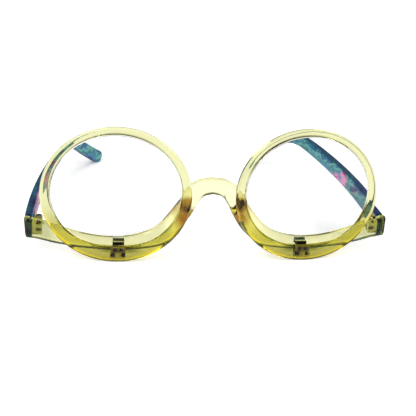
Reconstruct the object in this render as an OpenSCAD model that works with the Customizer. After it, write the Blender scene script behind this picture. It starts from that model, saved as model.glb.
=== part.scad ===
// Flip-down makeup glasses: a clear front with two half rims, two lens rims that
// hinge forward and down on it, and two temples that fold.
// Millimetres. +X to the wearer's left, +Y towards the ears, +Z up.
// The glasses stand on a table at Z = 0, on the two lens rims and the two temple tips.

/* [Overall] */
// Width over the two endpieces
frame_w = 145; // [140:0.5:150]
// Angle that the front leans back when the glasses stand on a table
front_lean = 6; // [4:0.5:8]
// Angle that each half of the front sweeps back
wrap = 5; // [3:0.5:7]

/* [Lens rims] */
// Outer width of a lens rim
rim_w = 58.2; // [56:0.2:60]
// Outer height of a lens rim
rim_h = 52.8; // [50:0.2:55]
// Distance between the middles of the lens rims
rim_spacing = 75.3; // [74:0.1:78]
// Thickness of a lens rim, front to back
rim_t = 2.9; // [2.7:0.1:3.3]
// Wall of a lens rim at its sides
rim_side = 4.1; // [3.6:0.1:4.6]
// Wall of a lens rim at its top
rim_top = 3.2; // [2.8:0.1:3.8]
// Wall of a lens rim at its bottom, where the hinge sits
rim_bottom = 5.2; // [4.9:0.1:6]
// Extra wall round the hinge, where the opening is flatter
rim_boss = 1.7; // [1.4:0.1:2]
// Rounding of the lens rim's edges
rim_round = 1.2; // [0.9:0.1:1.3]
// Gap between a raised lens rim and the front behind it
rim_gap = 0.3; // [0.2:0.05:0.6]

/* [Lenses] */
// Depth of the groove that holds a lens
groove_depth = 0.7; // [0.6:0.05:0.8]
// Width of the groove that holds a lens
groove_w = 1.7; // [1.5:0.05:1.9]
// Play of a lens in its groove
lens_play = 0.05; // [0.03:0.01:0.1]
// Radius of a lens's front face
lens_front_r = 100; // [92:1:110]
// Radius of a lens's back face
lens_back_r = 200; // [180:5:230]

/* [Front] */
// Thickness of the front
front_t = 4.5; // [4:0.1:5.2]
// Rounding of the front's edges
front_round = 1; // [0.6:0.1:1.3]
// Height of the bridge
bridge_h = 6.5; // [5.5:0.1:7.5]
// Top of the bridge above the middle of the lens rims
bridge_top = 6.8; // [5.5:0.1:8]
// Height of a half rim at its lowest point
half_h = 5.5; // [5.2:0.1:6]
// Height of a half rim's lowest point above the bottom of the lens rim
half_lift = 4; // [3.7:0.1:4.3]
// Height of an endpiece
end_h = 8.2; // [7.8:0.1:9]
// Middle of an endpiece below the middle of the lens rims
end_drop = 14; // [13:0.1:15]
// How much deeper the front is at the nose pads
pad_depth = 3; // [2:0.1:4]

/* [Flip hinges] */
// Width of a flip hinge
flip_w = 5.6; // [5:0.1:6.4]
// Width of the middle knuckle of a flip hinge
flip_mid_w = 2.2; // [1.8:0.1:2.6]
// Radius of a flip hinge's barrel
flip_r = 1.25; // [1.15:0.05:1.35]
// Axis of a flip hinge above the bottom of the lens rim
flip_up = 2.3; // [2.2:0.05:2.4]
// Offset of a flip hinge towards the nose
flip_in = 1; // [0:0.1:2]
// Radius of a flip hinge's screw
flip_screw_r = 0.5; // [0.4:0.05:0.6]

/* [Temple hinges] */
// Height of a temple hinge's barrel
hinge_h = 6.1; // [5.6:0.1:6.4]
// Radius of a temple hinge's barrel
hinge_r = 1.45; // [1.35:0.05:1.5]
// Radius of a temple hinge's screw
hinge_screw_r = 0.6; // [0.5:0.05:0.7]
// Axis of a temple hinge behind the endpiece
hinge_back = 1.9; // [1.8:0.05:2.2]
// Axis of a temple hinge inside the temple's inner face
hinge_inset = 2.4; // [2.2:0.05:2.6]

/* [Temples] */
// Height of a temple at the hinge
temple_h = 8.4; // [7.8:0.1:9]
// Height of a temple at the ear bend
bend_h = 4.4; // [4:0.1:5]
// Height of a temple at the middle of its tip
tip_h = 4.7; // [4.3:0.1:5.2]
// Thickness of a temple
temple_t = 3.1; // [2.9:0.1:3.5]
// Length of a temple from the endpiece to the ear bend
arm_len = 74; // [70:1:82]
// Rise of a temple from the hinge to the ear bend, as an angle
arm_rise = 4.9; // [4:0.1:5.5]
// Radius of the ear bend
bend_r = 24; // [20:0.5:28]
// Angle of a temple's tip below the table's line
tip_angle = 38; // [35:0.5:41]

/* [Fits] */
// Clearance between a metal leaf and its pocket
leaf_play = 0.06; // [0.04:0.01:0.1]
// Radial clearance of a screw in a knuckle
screw_play = 0.04; // [0.02:0.01:0.08]
// Clearance between two knuckles, and round a barrel that turns
turn_play = 0.15; // [0.1:0.01:0.2]
// Depth of the flat that each lens rim and temple tip stands on
land_cut = 0.15; // [0.1:0.01:0.25]

/* [Hidden] */

LEFT = 1;
RIGHT = -1;
big = 60;

// Lens rim: outer ellipse, and the opening, which sits a little high in it
rim_a = rim_w / 2;
rim_b = rim_h / 2;
rim_cx = rim_spacing / 2;
open_a = rim_a - rim_side;
open_b = (rim_h - rim_top - rim_bottom) / 2;
open_up = (rim_bottom - rim_top) / 2;
rim_steps = 96;
groove_v = (rim_t - groove_w) / 2;
lens_reach = groove_depth - lens_play;
lens_front_v = groove_v + lens_play - sag(lens_front_r, open_a + lens_reach);
lens_back_v = groove_v + groove_w - lens_play - sag(lens_back_r, open_a + lens_reach);

// Front: a band behind the lens rims, from one endpiece to the other
front_v = rim_t + rim_gap;
back_v = front_v + front_t;
end_x = frame_w / 2;
bridge_soft = 6;
half_z = -rim_b + half_lift;
edge_steps = 6;
pad_from = 2.5;
pad_to = 4.6;
pad_round = 0.8;

// Flip hinge, in the plane of its lens rim
flip_behind = 0.2;
flip_v = front_v + flip_behind;
flip_z = -rim_b + flip_up;
leaf_t = 0.95;
leaf_sunk = 0.1;
leaf_cover = 1.8;
flip_leaf_top = half_z + half_h - leaf_cover;
flip_tab_h = 1.5;
flip_wide_top = flip_leaf_top - flip_tab_h;
flip_shoulder = 0.6;
flip_tab_w = flip_w - 2 * flip_shoulder;
flip_tongue_v = 0.45;
flip_tongue_back = rim_t - leaf_sunk;
groove_wall = 0.2;
flip_tongue_top = -rim_b + rim_bottom + rim_boss - groove_depth - groove_wall;
flip_web = 0.6;
barrel_step = 0.1;
flip_tongue_low = flip_z + flip_r + turn_play + barrel_step;
flip_hole = 1.3;
flip_hole_x = 1.2;
flip_hole_up = 2.6;
flip_head_h = 0.5;
flip_head_lip = 0.35;
flip_head_r = flip_screw_r + flip_head_lip;
slot_w = 0.26;
slot_depth = 0.2;

// Standing pose
mid_sweep = rim_a * sin(wrap);
stand_z = rim_b * cos(front_lean) + (rim_t - rim_round) * sin(front_lean) - land_cut;
front_reach = norm([mid_sweep * cos(front_lean), rim_b * sin(front_lean)]);

// Temple hinge, upright when the glasses stand
joint_gap = 0.1;
temple_out = end_x - joint_gap;
temple_x = temple_out - temple_t / 2;
hinge_x = temple_out - temple_t - hinge_inset;
end_back = lean_y(plane_y(hinge_x, back_v), -end_drop);
hinge_y = end_back + hinge_back;
hinge_z = lean_z(plane_y(hinge_x, back_v), -end_drop);
knuckles = 5;
knuckle_gap = 0.06;
knuckle_h = (hinge_h - (knuckles - 1) * knuckle_gap) / knuckles;
hinge_web = 0.9;
hinge_leaf_w = 3.7;
hinge_leaf_out = 0.45;
hinge_leaf_edge = 0.1;
hinge_leaf_h = hinge_h + 2 * hinge_leaf_edge;
hinge_web_x = (hinge_x - rim_cx + back_v * sin(wrap)) / cos(wrap);
hinge_leaf_x = hinge_web_x + hinge_leaf_out;
hinge_plate_len = 6.5;
hinge_head_lip = 0.45;
hinge_head_r = hinge_screw_r + hinge_head_lip;
hinge_head_h = 0.5;

// Temple: a straight arm, the ear bend, and the tip down to the table
arm_y = end_back;
arm_z = hinge_z;
arm_drop = 0.5 * (temple_h - bend_h);
bend_y = arm_y + arm_len * cos(arm_rise);
bend_z = arm_z + arm_len * sin(arm_rise) + arm_drop;
bend_y2 = bend_y + bend_r * (sin(arm_rise) + sin(tip_angle));
bend_z2 = bend_z - bend_r * (cos(arm_rise) - cos(tip_angle));
tip_round = 2.2;
tip_sink = 0.5;
tip_end_z = 0.5 * tip_h * cos(tip_angle) - tip_sink;
tip_over = 0.4;
tip_len = (bend_z2 - tip_end_z) / sin(tip_angle) + tip_round * tip_over;
tip_y = bend_y2 + tip_len * cos(tip_angle);
temple_in = 3.7;
temple_bow = 9.2;
temple_hook = 0.85;
temple_round = 0.9;
temple_start = 4;

// The origin is under the middle of the whole object
tip_share = 0.55;
back_reach = tip_y + 0.5 * tip_h * sin(tip_angle) * tip_share;
mid_y = (back_reach - front_reach) / 2;

// Small helpers
function sag(r, x) = r - sqrt(r * r - x * x);
function lerp(a, b, f) = a + (b - a) * f;
function unit(v) = v / norm(v);
function lean_y(y, z) = y * cos(front_lean) + z * sin(front_lean);
function lean_z(y, z) = z * cos(front_lean) - y * sin(front_lean) + stand_z;

// A lens rim's opening, grown by g: an ellipse with a flatter bottom
function opening_at(t, g) = [
    (open_a + g) * cos(t),
    open_up + (open_b + g) * sin(t) + rim_boss * pow(max(0, -sin(t)), 8)
];
function opening(g) = [for (i = [0:rim_steps - 1]) opening_at(360 * i / rim_steps, g)];

// A smooth curve through the points p, n steps from each to the next
function pick(p, i) = p[max(0, min(len(p) - 1, i))];
function curve_at(p, i, t) =
    let (a = pick(p, i - 1), b = pick(p, i), c = pick(p, i + 1), d = pick(p, i + 2))
    0.5 * (2 * b + (c - a) * t + (2 * a - 5 * b + 4 * c - d) * t * t + (3 * b - a - 3 * c + d) * t * t * t);
function curve(p, n) = [
    for (i = [0:len(p) - 2]) for (k = [0:n - 1]) curve_at(p, i, k / n),
    p[len(p) - 1]
];

// Rounded rectangle w by t, four points to a corner
function rounded(w, t, r) = [
    for (c = [[1, 1, 0], [-1, 1, 90], [-1, -1, 180], [1, -1, 270]])
        for (k = [0:3])
            [
                c[0] * (w / 2 - r) + r * cos(c[2] + k * 30),
                c[1] * (t / 2 - r) + r * sin(c[2] + k * 30)
            ]
];

// A bar through stations, each [middle, across, through, width, thickness, rounding]
module bar(stations) {
    m = 16;
    n = len(stations);
    points = [
        for (s = stations) for (p = rounded(s[3], s[4], min(s[5], 0.49 * min(s[3], s[4]))))
            s[0] + s[1] * p[0] + s[2] * p[1]
    ];
    sides = [
        for (i = [0:n - 2]) for (k = [0:m - 1])
            let (k2 = (k + 1) % m)
            each [
                [i * m + k, i * m + k2, (i + 1) * m + k2],
                [i * m + k, (i + 1) * m + k2, (i + 1) * m + k]
            ]
    ];
    caps = [[for (k = [0:m - 1]) m - 1 - k], [for (k = [0:m - 1]) (n - 1) * m + k]];
    polyhedron(points, concat(sides, caps), convexity = 8);
}

// Places: the leaning front, and the plane of one lens rim in it
module on_table() {
    translate([0, -mid_y, stand_z]) rotate([-front_lean, 0, 0]) children();
}
module standing() {
    translate([0, -mid_y, 0]) children();
}
module on_side(side) {
    if (side == LEFT) children();
    else mirror([1, 0, 0]) children();
}
module rim_plane() {
    translate([rim_cx, 0, 0]) rotate([0, 0, wrap]) children();
}
module upright(v0, v1) {
    translate([0, v1, 0]) rotate([90, 0, 0]) linear_extrude(v1 - v0) children();
}

// Lens rims
module rim_ring() {
    m = 16;
    points = [
        for (i = [0:rim_steps - 1])
            let (
                t = 360 * i / rim_steps,
                outer = [rim_a * cos(t), rim_b * sin(t)],
                inner = opening_at(t, 0),
                across = unit(outer - inner),
                middle = (outer + inner) / 2
            )
            for (p = rounded(norm(outer - inner), rim_t, rim_round))
                [middle[0] + across[0] * p[0], rim_t / 2 + p[1], middle[1] + across[1] * p[0]]
    ];
    faces = [
        for (i = [0:rim_steps - 1]) for (k = [0:m - 1])
            let (j = (i + 1) % rim_steps, k2 = (k + 1) % m)
            each [
                [i * m + k, j * m + k2, i * m + k2],
                [i * m + k, j * m + k, j * m + k2]
            ]
    ];
    polyhedron(points, faces, convexity = 4);
}
module flip_barrel(u0, u1, r) {
    translate([u0 - flip_in, flip_v, flip_z]) rotate([0, 90, 0]) cylinder(r = r, h = u1 - u0, $fn = 48);
}
module flip_block(w, v0, v1, z0, z1) {
    translate([-flip_in - w / 2, v0, z0]) cube([w, v1 - v0, z1 - z0]);
}
// The hinge's plate in the lens rim: wide over the barrel, and a tab down to it
module flip_shield(play, back) {
    v = flip_tongue_v - play;
    flip_block(flip_w + 2 * play, v, back, flip_tongue_low - play, flip_tongue_top + play);
    flip_block(flip_mid_w + 2 * play, v, back, flip_z - flip_web - play, flip_tongue_top);
}
// The room that the barrel and its screw's head turn in
module flip_room() {
    flip_barrel(-flip_w / 2 - turn_play, flip_w / 2 + turn_play + flip_head_h, flip_r + turn_play);
}
module flip_rim(side) {
    color([0.93, 0.89, 0.42, 0.6])
    difference() {
        on_table() on_side(side) rim_plane() difference() {
            rim_ring();
            upright(groove_v, groove_v + groove_w) polygon(opening(groove_depth));
            flip_shield(leaf_play, rim_t + 1);
            flip_room();
        }
        translate([-big * 2, -big * 2, -big]) cube([big * 4, big * 4, big]);
    }
}

// Lenses: thicker in the middle, with an edge that fills the groove
module lens(side) {
    color([0.85, 0.93, 0.95, 0.35])
    on_table() on_side(side) rim_plane() intersection() {
        translate([0, 0, open_up]) difference() {
            translate([0, lens_front_v + lens_front_r, 0]) sphere(r = lens_front_r, $fn = 240);
            translate([0, lens_back_v + lens_back_r, 0]) sphere(r = lens_back_r, $fn = 360);
        }
        union() {
            upright(-big / 4, big / 4) polygon(opening(-lens_play));
            upright(groove_v + lens_play, groove_v + groove_w - lens_play) polygon(opening(lens_reach));
        }
    }
}

// Front: its upper and lower edges from the middle of the bridge to an endpiece
upper_edge = [
    [0, bridge_top],
    [5.2, bridge_top - 0.9],
    [9.6, bridge_top - 3.6],
    [rim_cx - 0.84 * rim_a, -0.08 * rim_b],
    [rim_cx - 0.684 * rim_a, -0.31 * rim_b],
    [rim_cx - 0.502 * rim_a, -0.497 * rim_b],
    [rim_cx - 0.27 * rim_a, half_z + half_h + 1],
    [rim_cx, half_z + half_h],
    [rim_cx + 0.32 * rim_a, half_z + half_h + 0.7],
    [rim_cx + 0.7 * rim_a, lerp(half_z + half_h, -end_drop + end_h / 2, 0.48)],
    [end_x - 6.5, -end_drop + end_h / 2 - 1.5],
    [end_x, -end_drop + end_h / 2]
];
lower_edge = [
    [0, bridge_top - bridge_h],
    [3.6, bridge_top - bridge_h - 1],
    [6.3, bridge_top - bridge_h - 4.6],
    [rim_cx - rim_a, -0.326 * rim_b],
    [rim_cx - 0.86 * rim_a, -0.56 * rim_b],
    [rim_cx - 0.63 * rim_a, -0.757 * rim_b],
    [rim_cx - 0.345 * rim_a, half_z + 0.6],
    [rim_cx, half_z],
    [rim_cx + 0.355 * rim_a, half_z + 0.5],
    [rim_cx + 0.73 * rim_a, lerp(half_z, -end_drop - end_h / 2, 0.41)],
    [end_x - 6.3, -end_drop - end_h / 2 - 0.9],
    [end_x - 0.6, -end_drop - end_h / 2]
];
function plane_y(x, v) = v / cos(wrap) + tan(wrap) * (norm([x, bridge_soft]) - rim_cx);
function plane_n(x) = unit([-tan(wrap) * x / norm([x, bridge_soft]), 1, 0]);
// How far a place on the band, counted in its edges' points, is into a nose pad: 0 to 1
function pad_share(place) = pow(sin(180 * max(0, min(1, (place - pad_from) / (pad_to - pad_from)))), 2);
function band_station(up, low, cut, pad) =
    let (
        x = (up[0] + low[0]) / 2,
        t = front_t + pad_depth * pad,
        through = plane_n(x),
        rise = [up[0] - low[0], 0, up[1] - low[1]],
        across = unit([rise[0], -rise[0] * through[0] / through[1], rise[2]])
    )
    [
        [x, plane_y(x, front_v + t / 2), (up[1] + low[1]) / 2],
        across, through,
        norm(rise) - 2 * cut, t - 2 * cut, front_round + pad_round * pad
    ];
module band() {
    up = curve(upper_edge, edge_steps);
    low = curve(lower_edge, edge_steps);
    last = len(up) - 1;
    half = [
        for (i = [1:last - 1]) band_station(up[i], low[i], 0, pad_share(i / edge_steps)),
        for (f = [[0.75, 0.25], [1, 0.9]])
            band_station(lerp(up[last - 1], up[last], f[0]), lerp(low[last - 1], low[last], f[0]), f[1], 0)
    ];
    middle = [band_station(up[0], low[0], 0, 0)];
    flipped = [
        for (i = [len(half) - 1:-1:0])
            let (s = half[i])
            [
                [-s[0][0], s[0][1], s[0][2]], [-s[1][0], s[1][1], s[1][2]], [-s[2][0], s[2][1], s[2][2]],
                s[3], s[4], s[5]
            ]
    ];
    bar(concat(flipped, middle, half));
}
module hinge_plate_front(play) {
    translate([
        hinge_leaf_x - hinge_leaf_w / 2 - play, back_v - leaf_t - play,
        -end_drop - hinge_leaf_h / 2 - play
    ])
    cube([hinge_leaf_w + 2 * play, leaf_t + 2 * play, hinge_leaf_h + 2 * play]);
}
module flip_plate(play) {
    v = front_v + leaf_sunk;
    flip_block(flip_w + 2 * play, v - play, v + leaf_t + play, flip_z - play, flip_wide_top + play);
    flip_block(flip_tab_w + 2 * play, v - play, v + leaf_t + play, flip_z, flip_leaf_top + play);
    flip_block(flip_tab_w + 2 * play, v, back_v - leaf_sunk + 2 * play,
        flip_leaf_top - leaf_t - play, flip_leaf_top + play);
}
module hinge_relief() {
    translate([
        hinge_x - hinge_web - leaf_play, end_back - leaf_t / 2 - leaf_play,
        hinge_z - hinge_h / 2 - leaf_play
    ])
    cube([2 * (hinge_web + leaf_play), leaf_t + leaf_play, hinge_h + 2 * leaf_play]);
}
module front_frame() {
    color([0.93, 0.89, 0.42, 0.6])
    difference() {
        on_table() difference() {
            band();
            for (side = [LEFT, RIGHT]) on_side(side) rim_plane() {
                flip_plate(leaf_play);
                flip_block(flip_w + 2 * leaf_play, front_v - 1, front_v + 2 * leaf_sunk,
                    flip_z, flip_wide_top + leaf_play);
                flip_block(flip_tab_w + 2 * leaf_play, front_v - 1, front_v + 2 * leaf_sunk,
                    flip_z, flip_leaf_top + leaf_play);
                flip_room();
                hinge_plate_front(leaf_play);
            }
        }
        for (side = [LEFT, RIGHT]) on_side(side) standing() hinge_relief();
    }
}

// Flip hinges
module flip_leaf(side) {
    color([0.72, 0.6, 0.35])
    on_table() on_side(side) rim_plane() difference() {
        union() {
            flip_plate(0);
            flip_barrel(-flip_w / 2, flip_w / 2, flip_r);
        }
        flip_barrel(-flip_mid_w / 2 - turn_play, flip_mid_w / 2 + turn_play, flip_r + turn_play);
        flip_barrel(-flip_w, flip_w, flip_screw_r + screw_play);
    }
}
module flip_tongue(side) {
    color([0.72, 0.6, 0.35])
    on_table() on_side(side) rim_plane() difference() {
        union() {
            flip_shield(0, flip_tongue_back);
            flip_barrel(-flip_mid_w / 2, flip_mid_w / 2, flip_r);
        }
        for (s = [-1, 1])
            flip_barrel(
                (s * flip_w - flip_w + flip_mid_w) / 2,
                (s * flip_w + flip_w - flip_mid_w) / 2,
                flip_r + turn_play
            );
        flip_barrel(-flip_w, flip_w, flip_screw_r + screw_play);
        for (s = [-1, 1])
            translate([
                s * flip_hole_x - flip_in - flip_hole / 2, 0,
                flip_z + flip_hole_up - flip_hole / 2
            ])
            cube([flip_hole, 2 * rim_t, flip_hole]);
    }
}
module flip_screw(side) {
    color([0.55, 0.5, 0.42])
    on_table() on_side(side) rim_plane() difference() {
        union() {
            flip_barrel(-flip_w / 2, flip_w / 2 + flip_head_h / 2, flip_screw_r);
            flip_barrel(flip_w / 2, flip_w / 2 + flip_head_h, flip_head_r);
        }
        translate([
            flip_w / 2 + flip_head_h - slot_depth - flip_in,
            flip_v - slot_w / 2,
            flip_z - 2 * flip_head_r
        ])
        cube([1, slot_w, 4 * flip_head_r]);
    }
}

// Temple hinges
module hinge_barrel(z0, z1, r) {
    translate([hinge_x, hinge_y, hinge_z - hinge_h / 2 + z0]) cylinder(r = r, h = z1 - z0, $fn = 48);
}
module hinge_window(k) {
    translate([
        hinge_web_x - hinge_leaf_w, back_v - 2 * leaf_t,
        -end_drop - hinge_h / 2 + k * (knuckle_h + knuckle_gap) - knuckle_gap
    ])
    cube([hinge_leaf_w + hinge_web, 3 * leaf_t, knuckle_h + 2 * knuckle_gap]);
}
module hinge_leaf(side) {
    color([0.8, 0.66, 0.36])
    on_side(side) difference() {
        union() {
            on_table() rim_plane() difference() {
                hinge_plate_front(0);
                for (k = [1:2:knuckles - 1]) hinge_window(k);
            }
            standing() for (k = [0:2:knuckles - 1]) {
                z0 = k * (knuckle_h + knuckle_gap);
                hinge_barrel(z0, z0 + knuckle_h, hinge_r);
                translate([hinge_x - hinge_web, end_back - leaf_t / 2, hinge_z - hinge_h / 2 + z0])
                    cube([2 * hinge_web, hinge_back + leaf_t / 2, knuckle_h]);
            }
        }
        standing() hinge_barrel(-1, hinge_h + 1, hinge_screw_r + screw_play);
    }
}
module hinge_plate_temple(play) {
    translate([hinge_x + hinge_inset - play, hinge_y - hinge_web - play, hinge_z - hinge_leaf_h / 2 - play])
        cube([leaf_t + 2 * play, hinge_plate_len + hinge_web + 2 * play, hinge_leaf_h + 2 * play]);
}
module hinge_pocket() {
    hinge_plate_temple(leaf_play);
    translate([-leaf_t, 0, 0]) hinge_plate_temple(leaf_play);
}
module hinge_tongue(side) {
    color([0.8, 0.66, 0.36])
    on_side(side) standing() difference() {
        union() {
            hinge_plate_temple(0);
            for (k = [1:2:knuckles - 1]) {
                z0 = k * (knuckle_h + knuckle_gap);
                hinge_barrel(z0, z0 + knuckle_h, hinge_r);
                translate([hinge_x, hinge_y - hinge_web, hinge_z - hinge_h / 2 + z0])
                    cube([hinge_inset + leaf_t / 2, 2 * hinge_web, knuckle_h]);
            }
        }
        hinge_barrel(-1, hinge_h + 1, hinge_screw_r + screw_play);
    }
}
module hinge_screw(side) {
    color([0.62, 0.55, 0.42])
    on_side(side) standing() difference() {
        union() {
            hinge_barrel(0, hinge_h + hinge_head_h / 2, hinge_screw_r);
            hinge_barrel(hinge_h, hinge_h + hinge_head_h, hinge_head_r);
        }
        translate([
            hinge_x - 2 * hinge_head_r, hinge_y - slot_w / 2,
            hinge_z + hinge_h / 2 + hinge_head_h - slot_depth
        ])
        cube([4 * hinge_head_r, slot_w, 1]);
    }
}

// Temples: they curve inward, ever more towards the ear
function along(y) = max(0, y - arm_y) / arm_len;
function inward(y) = temple_in * along(y) + temple_bow * pow(along(y), 2) + temple_hook * pow(along(y), 6);
function inward_slope(y) =
    (y < arm_y) ? 0
    : (temple_in + 2 * temple_bow * along(y) + 6 * temple_hook * pow(along(y), 5)) / arm_len;
function temple_station(y, z, angle, h, t) =
    let (
        s = inward_slope(y),
        ahead = unit([-s * cos(angle), cos(angle), sin(angle)]),
        through = unit([1, s, 0]),
        across = cross(ahead, through)
    )
    [[temple_x - inward(y), y, z], across, through, h, t, temple_round];
module temple_body() {
    arm = [
        for (i = [0:16])
            let (
                y = lerp(arm_y - temple_start, bend_y, i / 16),
                g = max(0, (y - arm_y) / (bend_y - arm_y))
            )
            temple_station(y, lerp(arm_z, bend_z, g), arm_rise, lerp(temple_h, bend_h, g), temple_t)
    ];
    bend = [
        for (i = [1:7])
            let (a = lerp(arm_rise, -tip_angle, i / 7))
            temple_station(
                bend_y + bend_r * (sin(arm_rise) - sin(a)),
                bend_z - bend_r * (cos(arm_rise) - cos(a)),
                a, bend_h, temple_t
            )
    ];
    tip = [
        for (i = [1:4])
            let (f = i / 4, d = f * (tip_len - tip_round))
            temple_station(
                bend_y2 + d * cos(tip_angle), bend_z2 - d * sin(tip_angle),
                -tip_angle, lerp(bend_h, tip_h, f), temple_t
            )
    ];
    nose = [
        for (q = [25, 50, 70, 85])
            let (d = tip_len - tip_round + tip_round * sin(q), c = lerp(1, cos(q), 0.85))
            temple_station(
                bend_y2 + d * cos(tip_angle), bend_z2 - d * sin(tip_angle),
                -tip_angle, tip_h * c, temple_t * c
            )
    ];
    bar(concat(arm, bend, tip, nose));
}
module temple(side) {
    color([0.2, 0.42, 0.6])
    on_side(side) difference() {
        standing() difference() {
            temple_body();
            hinge_pocket();
        }
        on_table() rim_plane()
            translate([0, -big, -big]) cube([big, big + back_v + joint_gap, 2 * big]);
        translate([0, -big * 2, -big]) cube([big * 2, big * 4, big]);
    }
}

front_frame();
flip_rim(LEFT);  // flip_rim_left
flip_rim(RIGHT);  // flip_rim_right
lens(LEFT);  // lens_left
lens(RIGHT);  // lens_right
flip_leaf(LEFT);  // flip_leaf_left
flip_leaf(RIGHT);  // flip_leaf_right
flip_tongue(LEFT);  // flip_tongue_left
flip_tongue(RIGHT);  // flip_tongue_right
flip_screw(LEFT);  // flip_screw_left
flip_screw(RIGHT);  // flip_screw_right
hinge_leaf(LEFT);  // hinge_leaf_left
hinge_leaf(RIGHT);  // hinge_leaf_right
hinge_tongue(LEFT);  // hinge_tongue_left
hinge_tongue(RIGHT);  // hinge_tongue_right
hinge_screw(LEFT);  // hinge_screw_left
hinge_screw(RIGHT);  // hinge_screw_right
temple(LEFT);  // temple_left
temple(RIGHT);  // temple_right
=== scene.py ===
import math

import bpy
import bmesh
from mathutils import Matrix, Vector


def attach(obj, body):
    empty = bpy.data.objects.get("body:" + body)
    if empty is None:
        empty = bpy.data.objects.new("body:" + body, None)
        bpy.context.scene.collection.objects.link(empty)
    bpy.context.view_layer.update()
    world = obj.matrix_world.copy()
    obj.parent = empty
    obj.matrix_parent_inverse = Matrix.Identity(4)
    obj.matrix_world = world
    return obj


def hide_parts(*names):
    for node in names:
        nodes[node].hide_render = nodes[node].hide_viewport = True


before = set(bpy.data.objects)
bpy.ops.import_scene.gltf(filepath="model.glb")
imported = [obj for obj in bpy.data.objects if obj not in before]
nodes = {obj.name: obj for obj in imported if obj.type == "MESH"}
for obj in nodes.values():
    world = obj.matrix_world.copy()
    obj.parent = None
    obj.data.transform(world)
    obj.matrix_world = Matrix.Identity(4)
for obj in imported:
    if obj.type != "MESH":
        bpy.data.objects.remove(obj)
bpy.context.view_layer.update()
sides = {"left": 1, "right": -1}      # the wearer's left is +X

# where everything is, in millimetres and degrees, the same values as the part's
place = {
    "width": 145, "lean": 6, "wrap": 5,
    "rimW": 58.2, "rimH": 52.8, "rimSpacing": 75.3, "rimT": 2.9,
    "rimSide": 4.1, "rimTop": 3.2, "rimBottom": 5.2, "rimBoss": 1.7, "rimRound": 1.2, "rimGap": 0.3,
    "frontT": 4.5, "landCut": 0.15, "endDrop": 14, "bridgeSoft": 6,
}
lean, wrap = math.radians(place["lean"]), math.radians(place["wrap"])
rimA, rimB, rimCx = place["rimW"] / 2, place["rimH"] / 2, place["rimSpacing"] / 2
openA = rimA - place["rimSide"]
openB = (place["rimH"] - place["rimTop"] - place["rimBottom"]) / 2
openUp = (place["rimBottom"] - place["rimTop"]) / 2
frontV = place["rimT"] + place["rimGap"]
backV = frontV + place["frontT"]
endX = place["width"] / 2
standZ = (rimB * math.cos(lean) + (place["rimT"] - place["rimRound"]) * math.sin(lean)
          - place["landCut"])


# the front is curved in plan: v is how far behind the front face of the rims a point lies
def planeY(x, v):
    return v / math.cos(wrap) + math.tan(wrap) * (math.hypot(x, place["bridgeSoft"]) - rimCx)


# the upright design is tipped back by the lean and then stood on the table
def leanY(y, z):
    return y * math.cos(lean) + z * math.sin(lean)


def leanZ(y, z):
    return z * math.cos(lean) - y * math.sin(lean) + standZ


# one temple, and the line that its arm, ear bend and tip follow
temple = {
    "h": 8.4, "bendH": 4.4, "tipH": 4.7, "t": 3.1, "arm": 74, "rise": 4.9,
    "bendR": 24, "tipAngle": 38, "round": 0.9, "start": 4, "tipRound": 2.2, "sink": 0.5,
    "in": 3.7, "bow": 9.2, "hook": 0.85, "shy": 0.1, "tipOver": 0.4, "tipShare": 0.55,
    "armSteps": 80, "bendSteps": 28, "tipSteps": 16, "endDegrees": 10, "endNarrow": 0.85,
}
hinge = {
    "h": 6.1, "back": 1.9, "inset": 2.4, "web": 0.9, "leafT": 0.95, "leafW": 3.7,
    "leafOut": 0.45, "plate": 6.5, "play": 0.06, "edge": 0.1, "clear": 0.1, "far": 60,
}
templeOut = endX - temple["shy"]
templeX = templeOut - temple["t"] / 2
hingeX = templeOut - temple["t"] - hinge["inset"]
endBack = leanY(planeY(hingeX, backV), -place["endDrop"])
hingeY = endBack + hinge["back"]
hingeZ = leanZ(planeY(hingeX, backV), -place["endDrop"])
rise, fall = math.radians(temple["rise"]), math.radians(temple["tipAngle"])
bendY = endBack + temple["arm"] * math.cos(rise)
bendZ = hingeZ + temple["arm"] * math.sin(rise) + (temple["h"] - temple["bendH"]) / 2
bendY2 = bendY + temple["bendR"] * (math.sin(rise) + math.sin(fall))
bendZ2 = bendZ - temple["bendR"] * (math.cos(rise) - math.cos(fall))
tipEndZ = temple["tipH"] * math.cos(fall) / 2 - temple["sink"]
tipLen = (bendZ2 - tipEndZ) / math.sin(fall) + temple["tipRound"] * temple["tipOver"]
backReach = bendY2 + tipLen * math.cos(fall) + temple["tipH"] * math.sin(fall) * temple["tipShare"] / 2
frontReach = math.hypot(rimA * math.sin(wrap) * math.cos(lean), rimB * math.sin(lean))
midY = (backReach - frontReach) / 2


# from millimetres in the upright design, or in a rim's own plane, to metres in the frame
def standing(p, side=1):
    return Vector((p[0] * side, p[1] - midY, p[2])) / 1000


def onTable(p, side=1):
    return standing((p[0], leanY(p[1], p[2]), leanZ(p[1], p[2])), side)


def rimPlane(p, side=1):
    x = rimCx + p[0] * math.cos(wrap) - p[1] * math.sin(wrap)
    return onTable((x, p[0] * math.sin(wrap) + p[1] * math.cos(wrap), p[2]), side)


# the camera stands where the photographer's did
camera = {
    "at": (-57.398, -342.0512, 146.949), "lens": 82.2, "sensor": 36, "clip": (0.01, 20),
    "ahead": (0.15035184, 0.92807351, -0.34069619),
    "up": (0.00150964, 0.34439764, 0.93882266),
}
camData = bpy.data.cameras.new("camera")
camData.lens, camData.sensor_width = camera["lens"], camera["sensor"]
camData.clip_start, camData.clip_end = camera["clip"]
cam = bpy.data.objects.new("camera", camData)
bpy.context.scene.collection.objects.link(cam)
ahead, up = Vector(camera["ahead"]).normalized(), Vector(camera["up"]).normalized()
turn = Matrix((ahead.cross(up), up, -ahead)).transposed()
cam.matrix_world = Matrix.Translation(standing(camera["at"])) @ turn.to_4x4()
bpy.context.scene.camera = cam
print("camera set")


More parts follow.
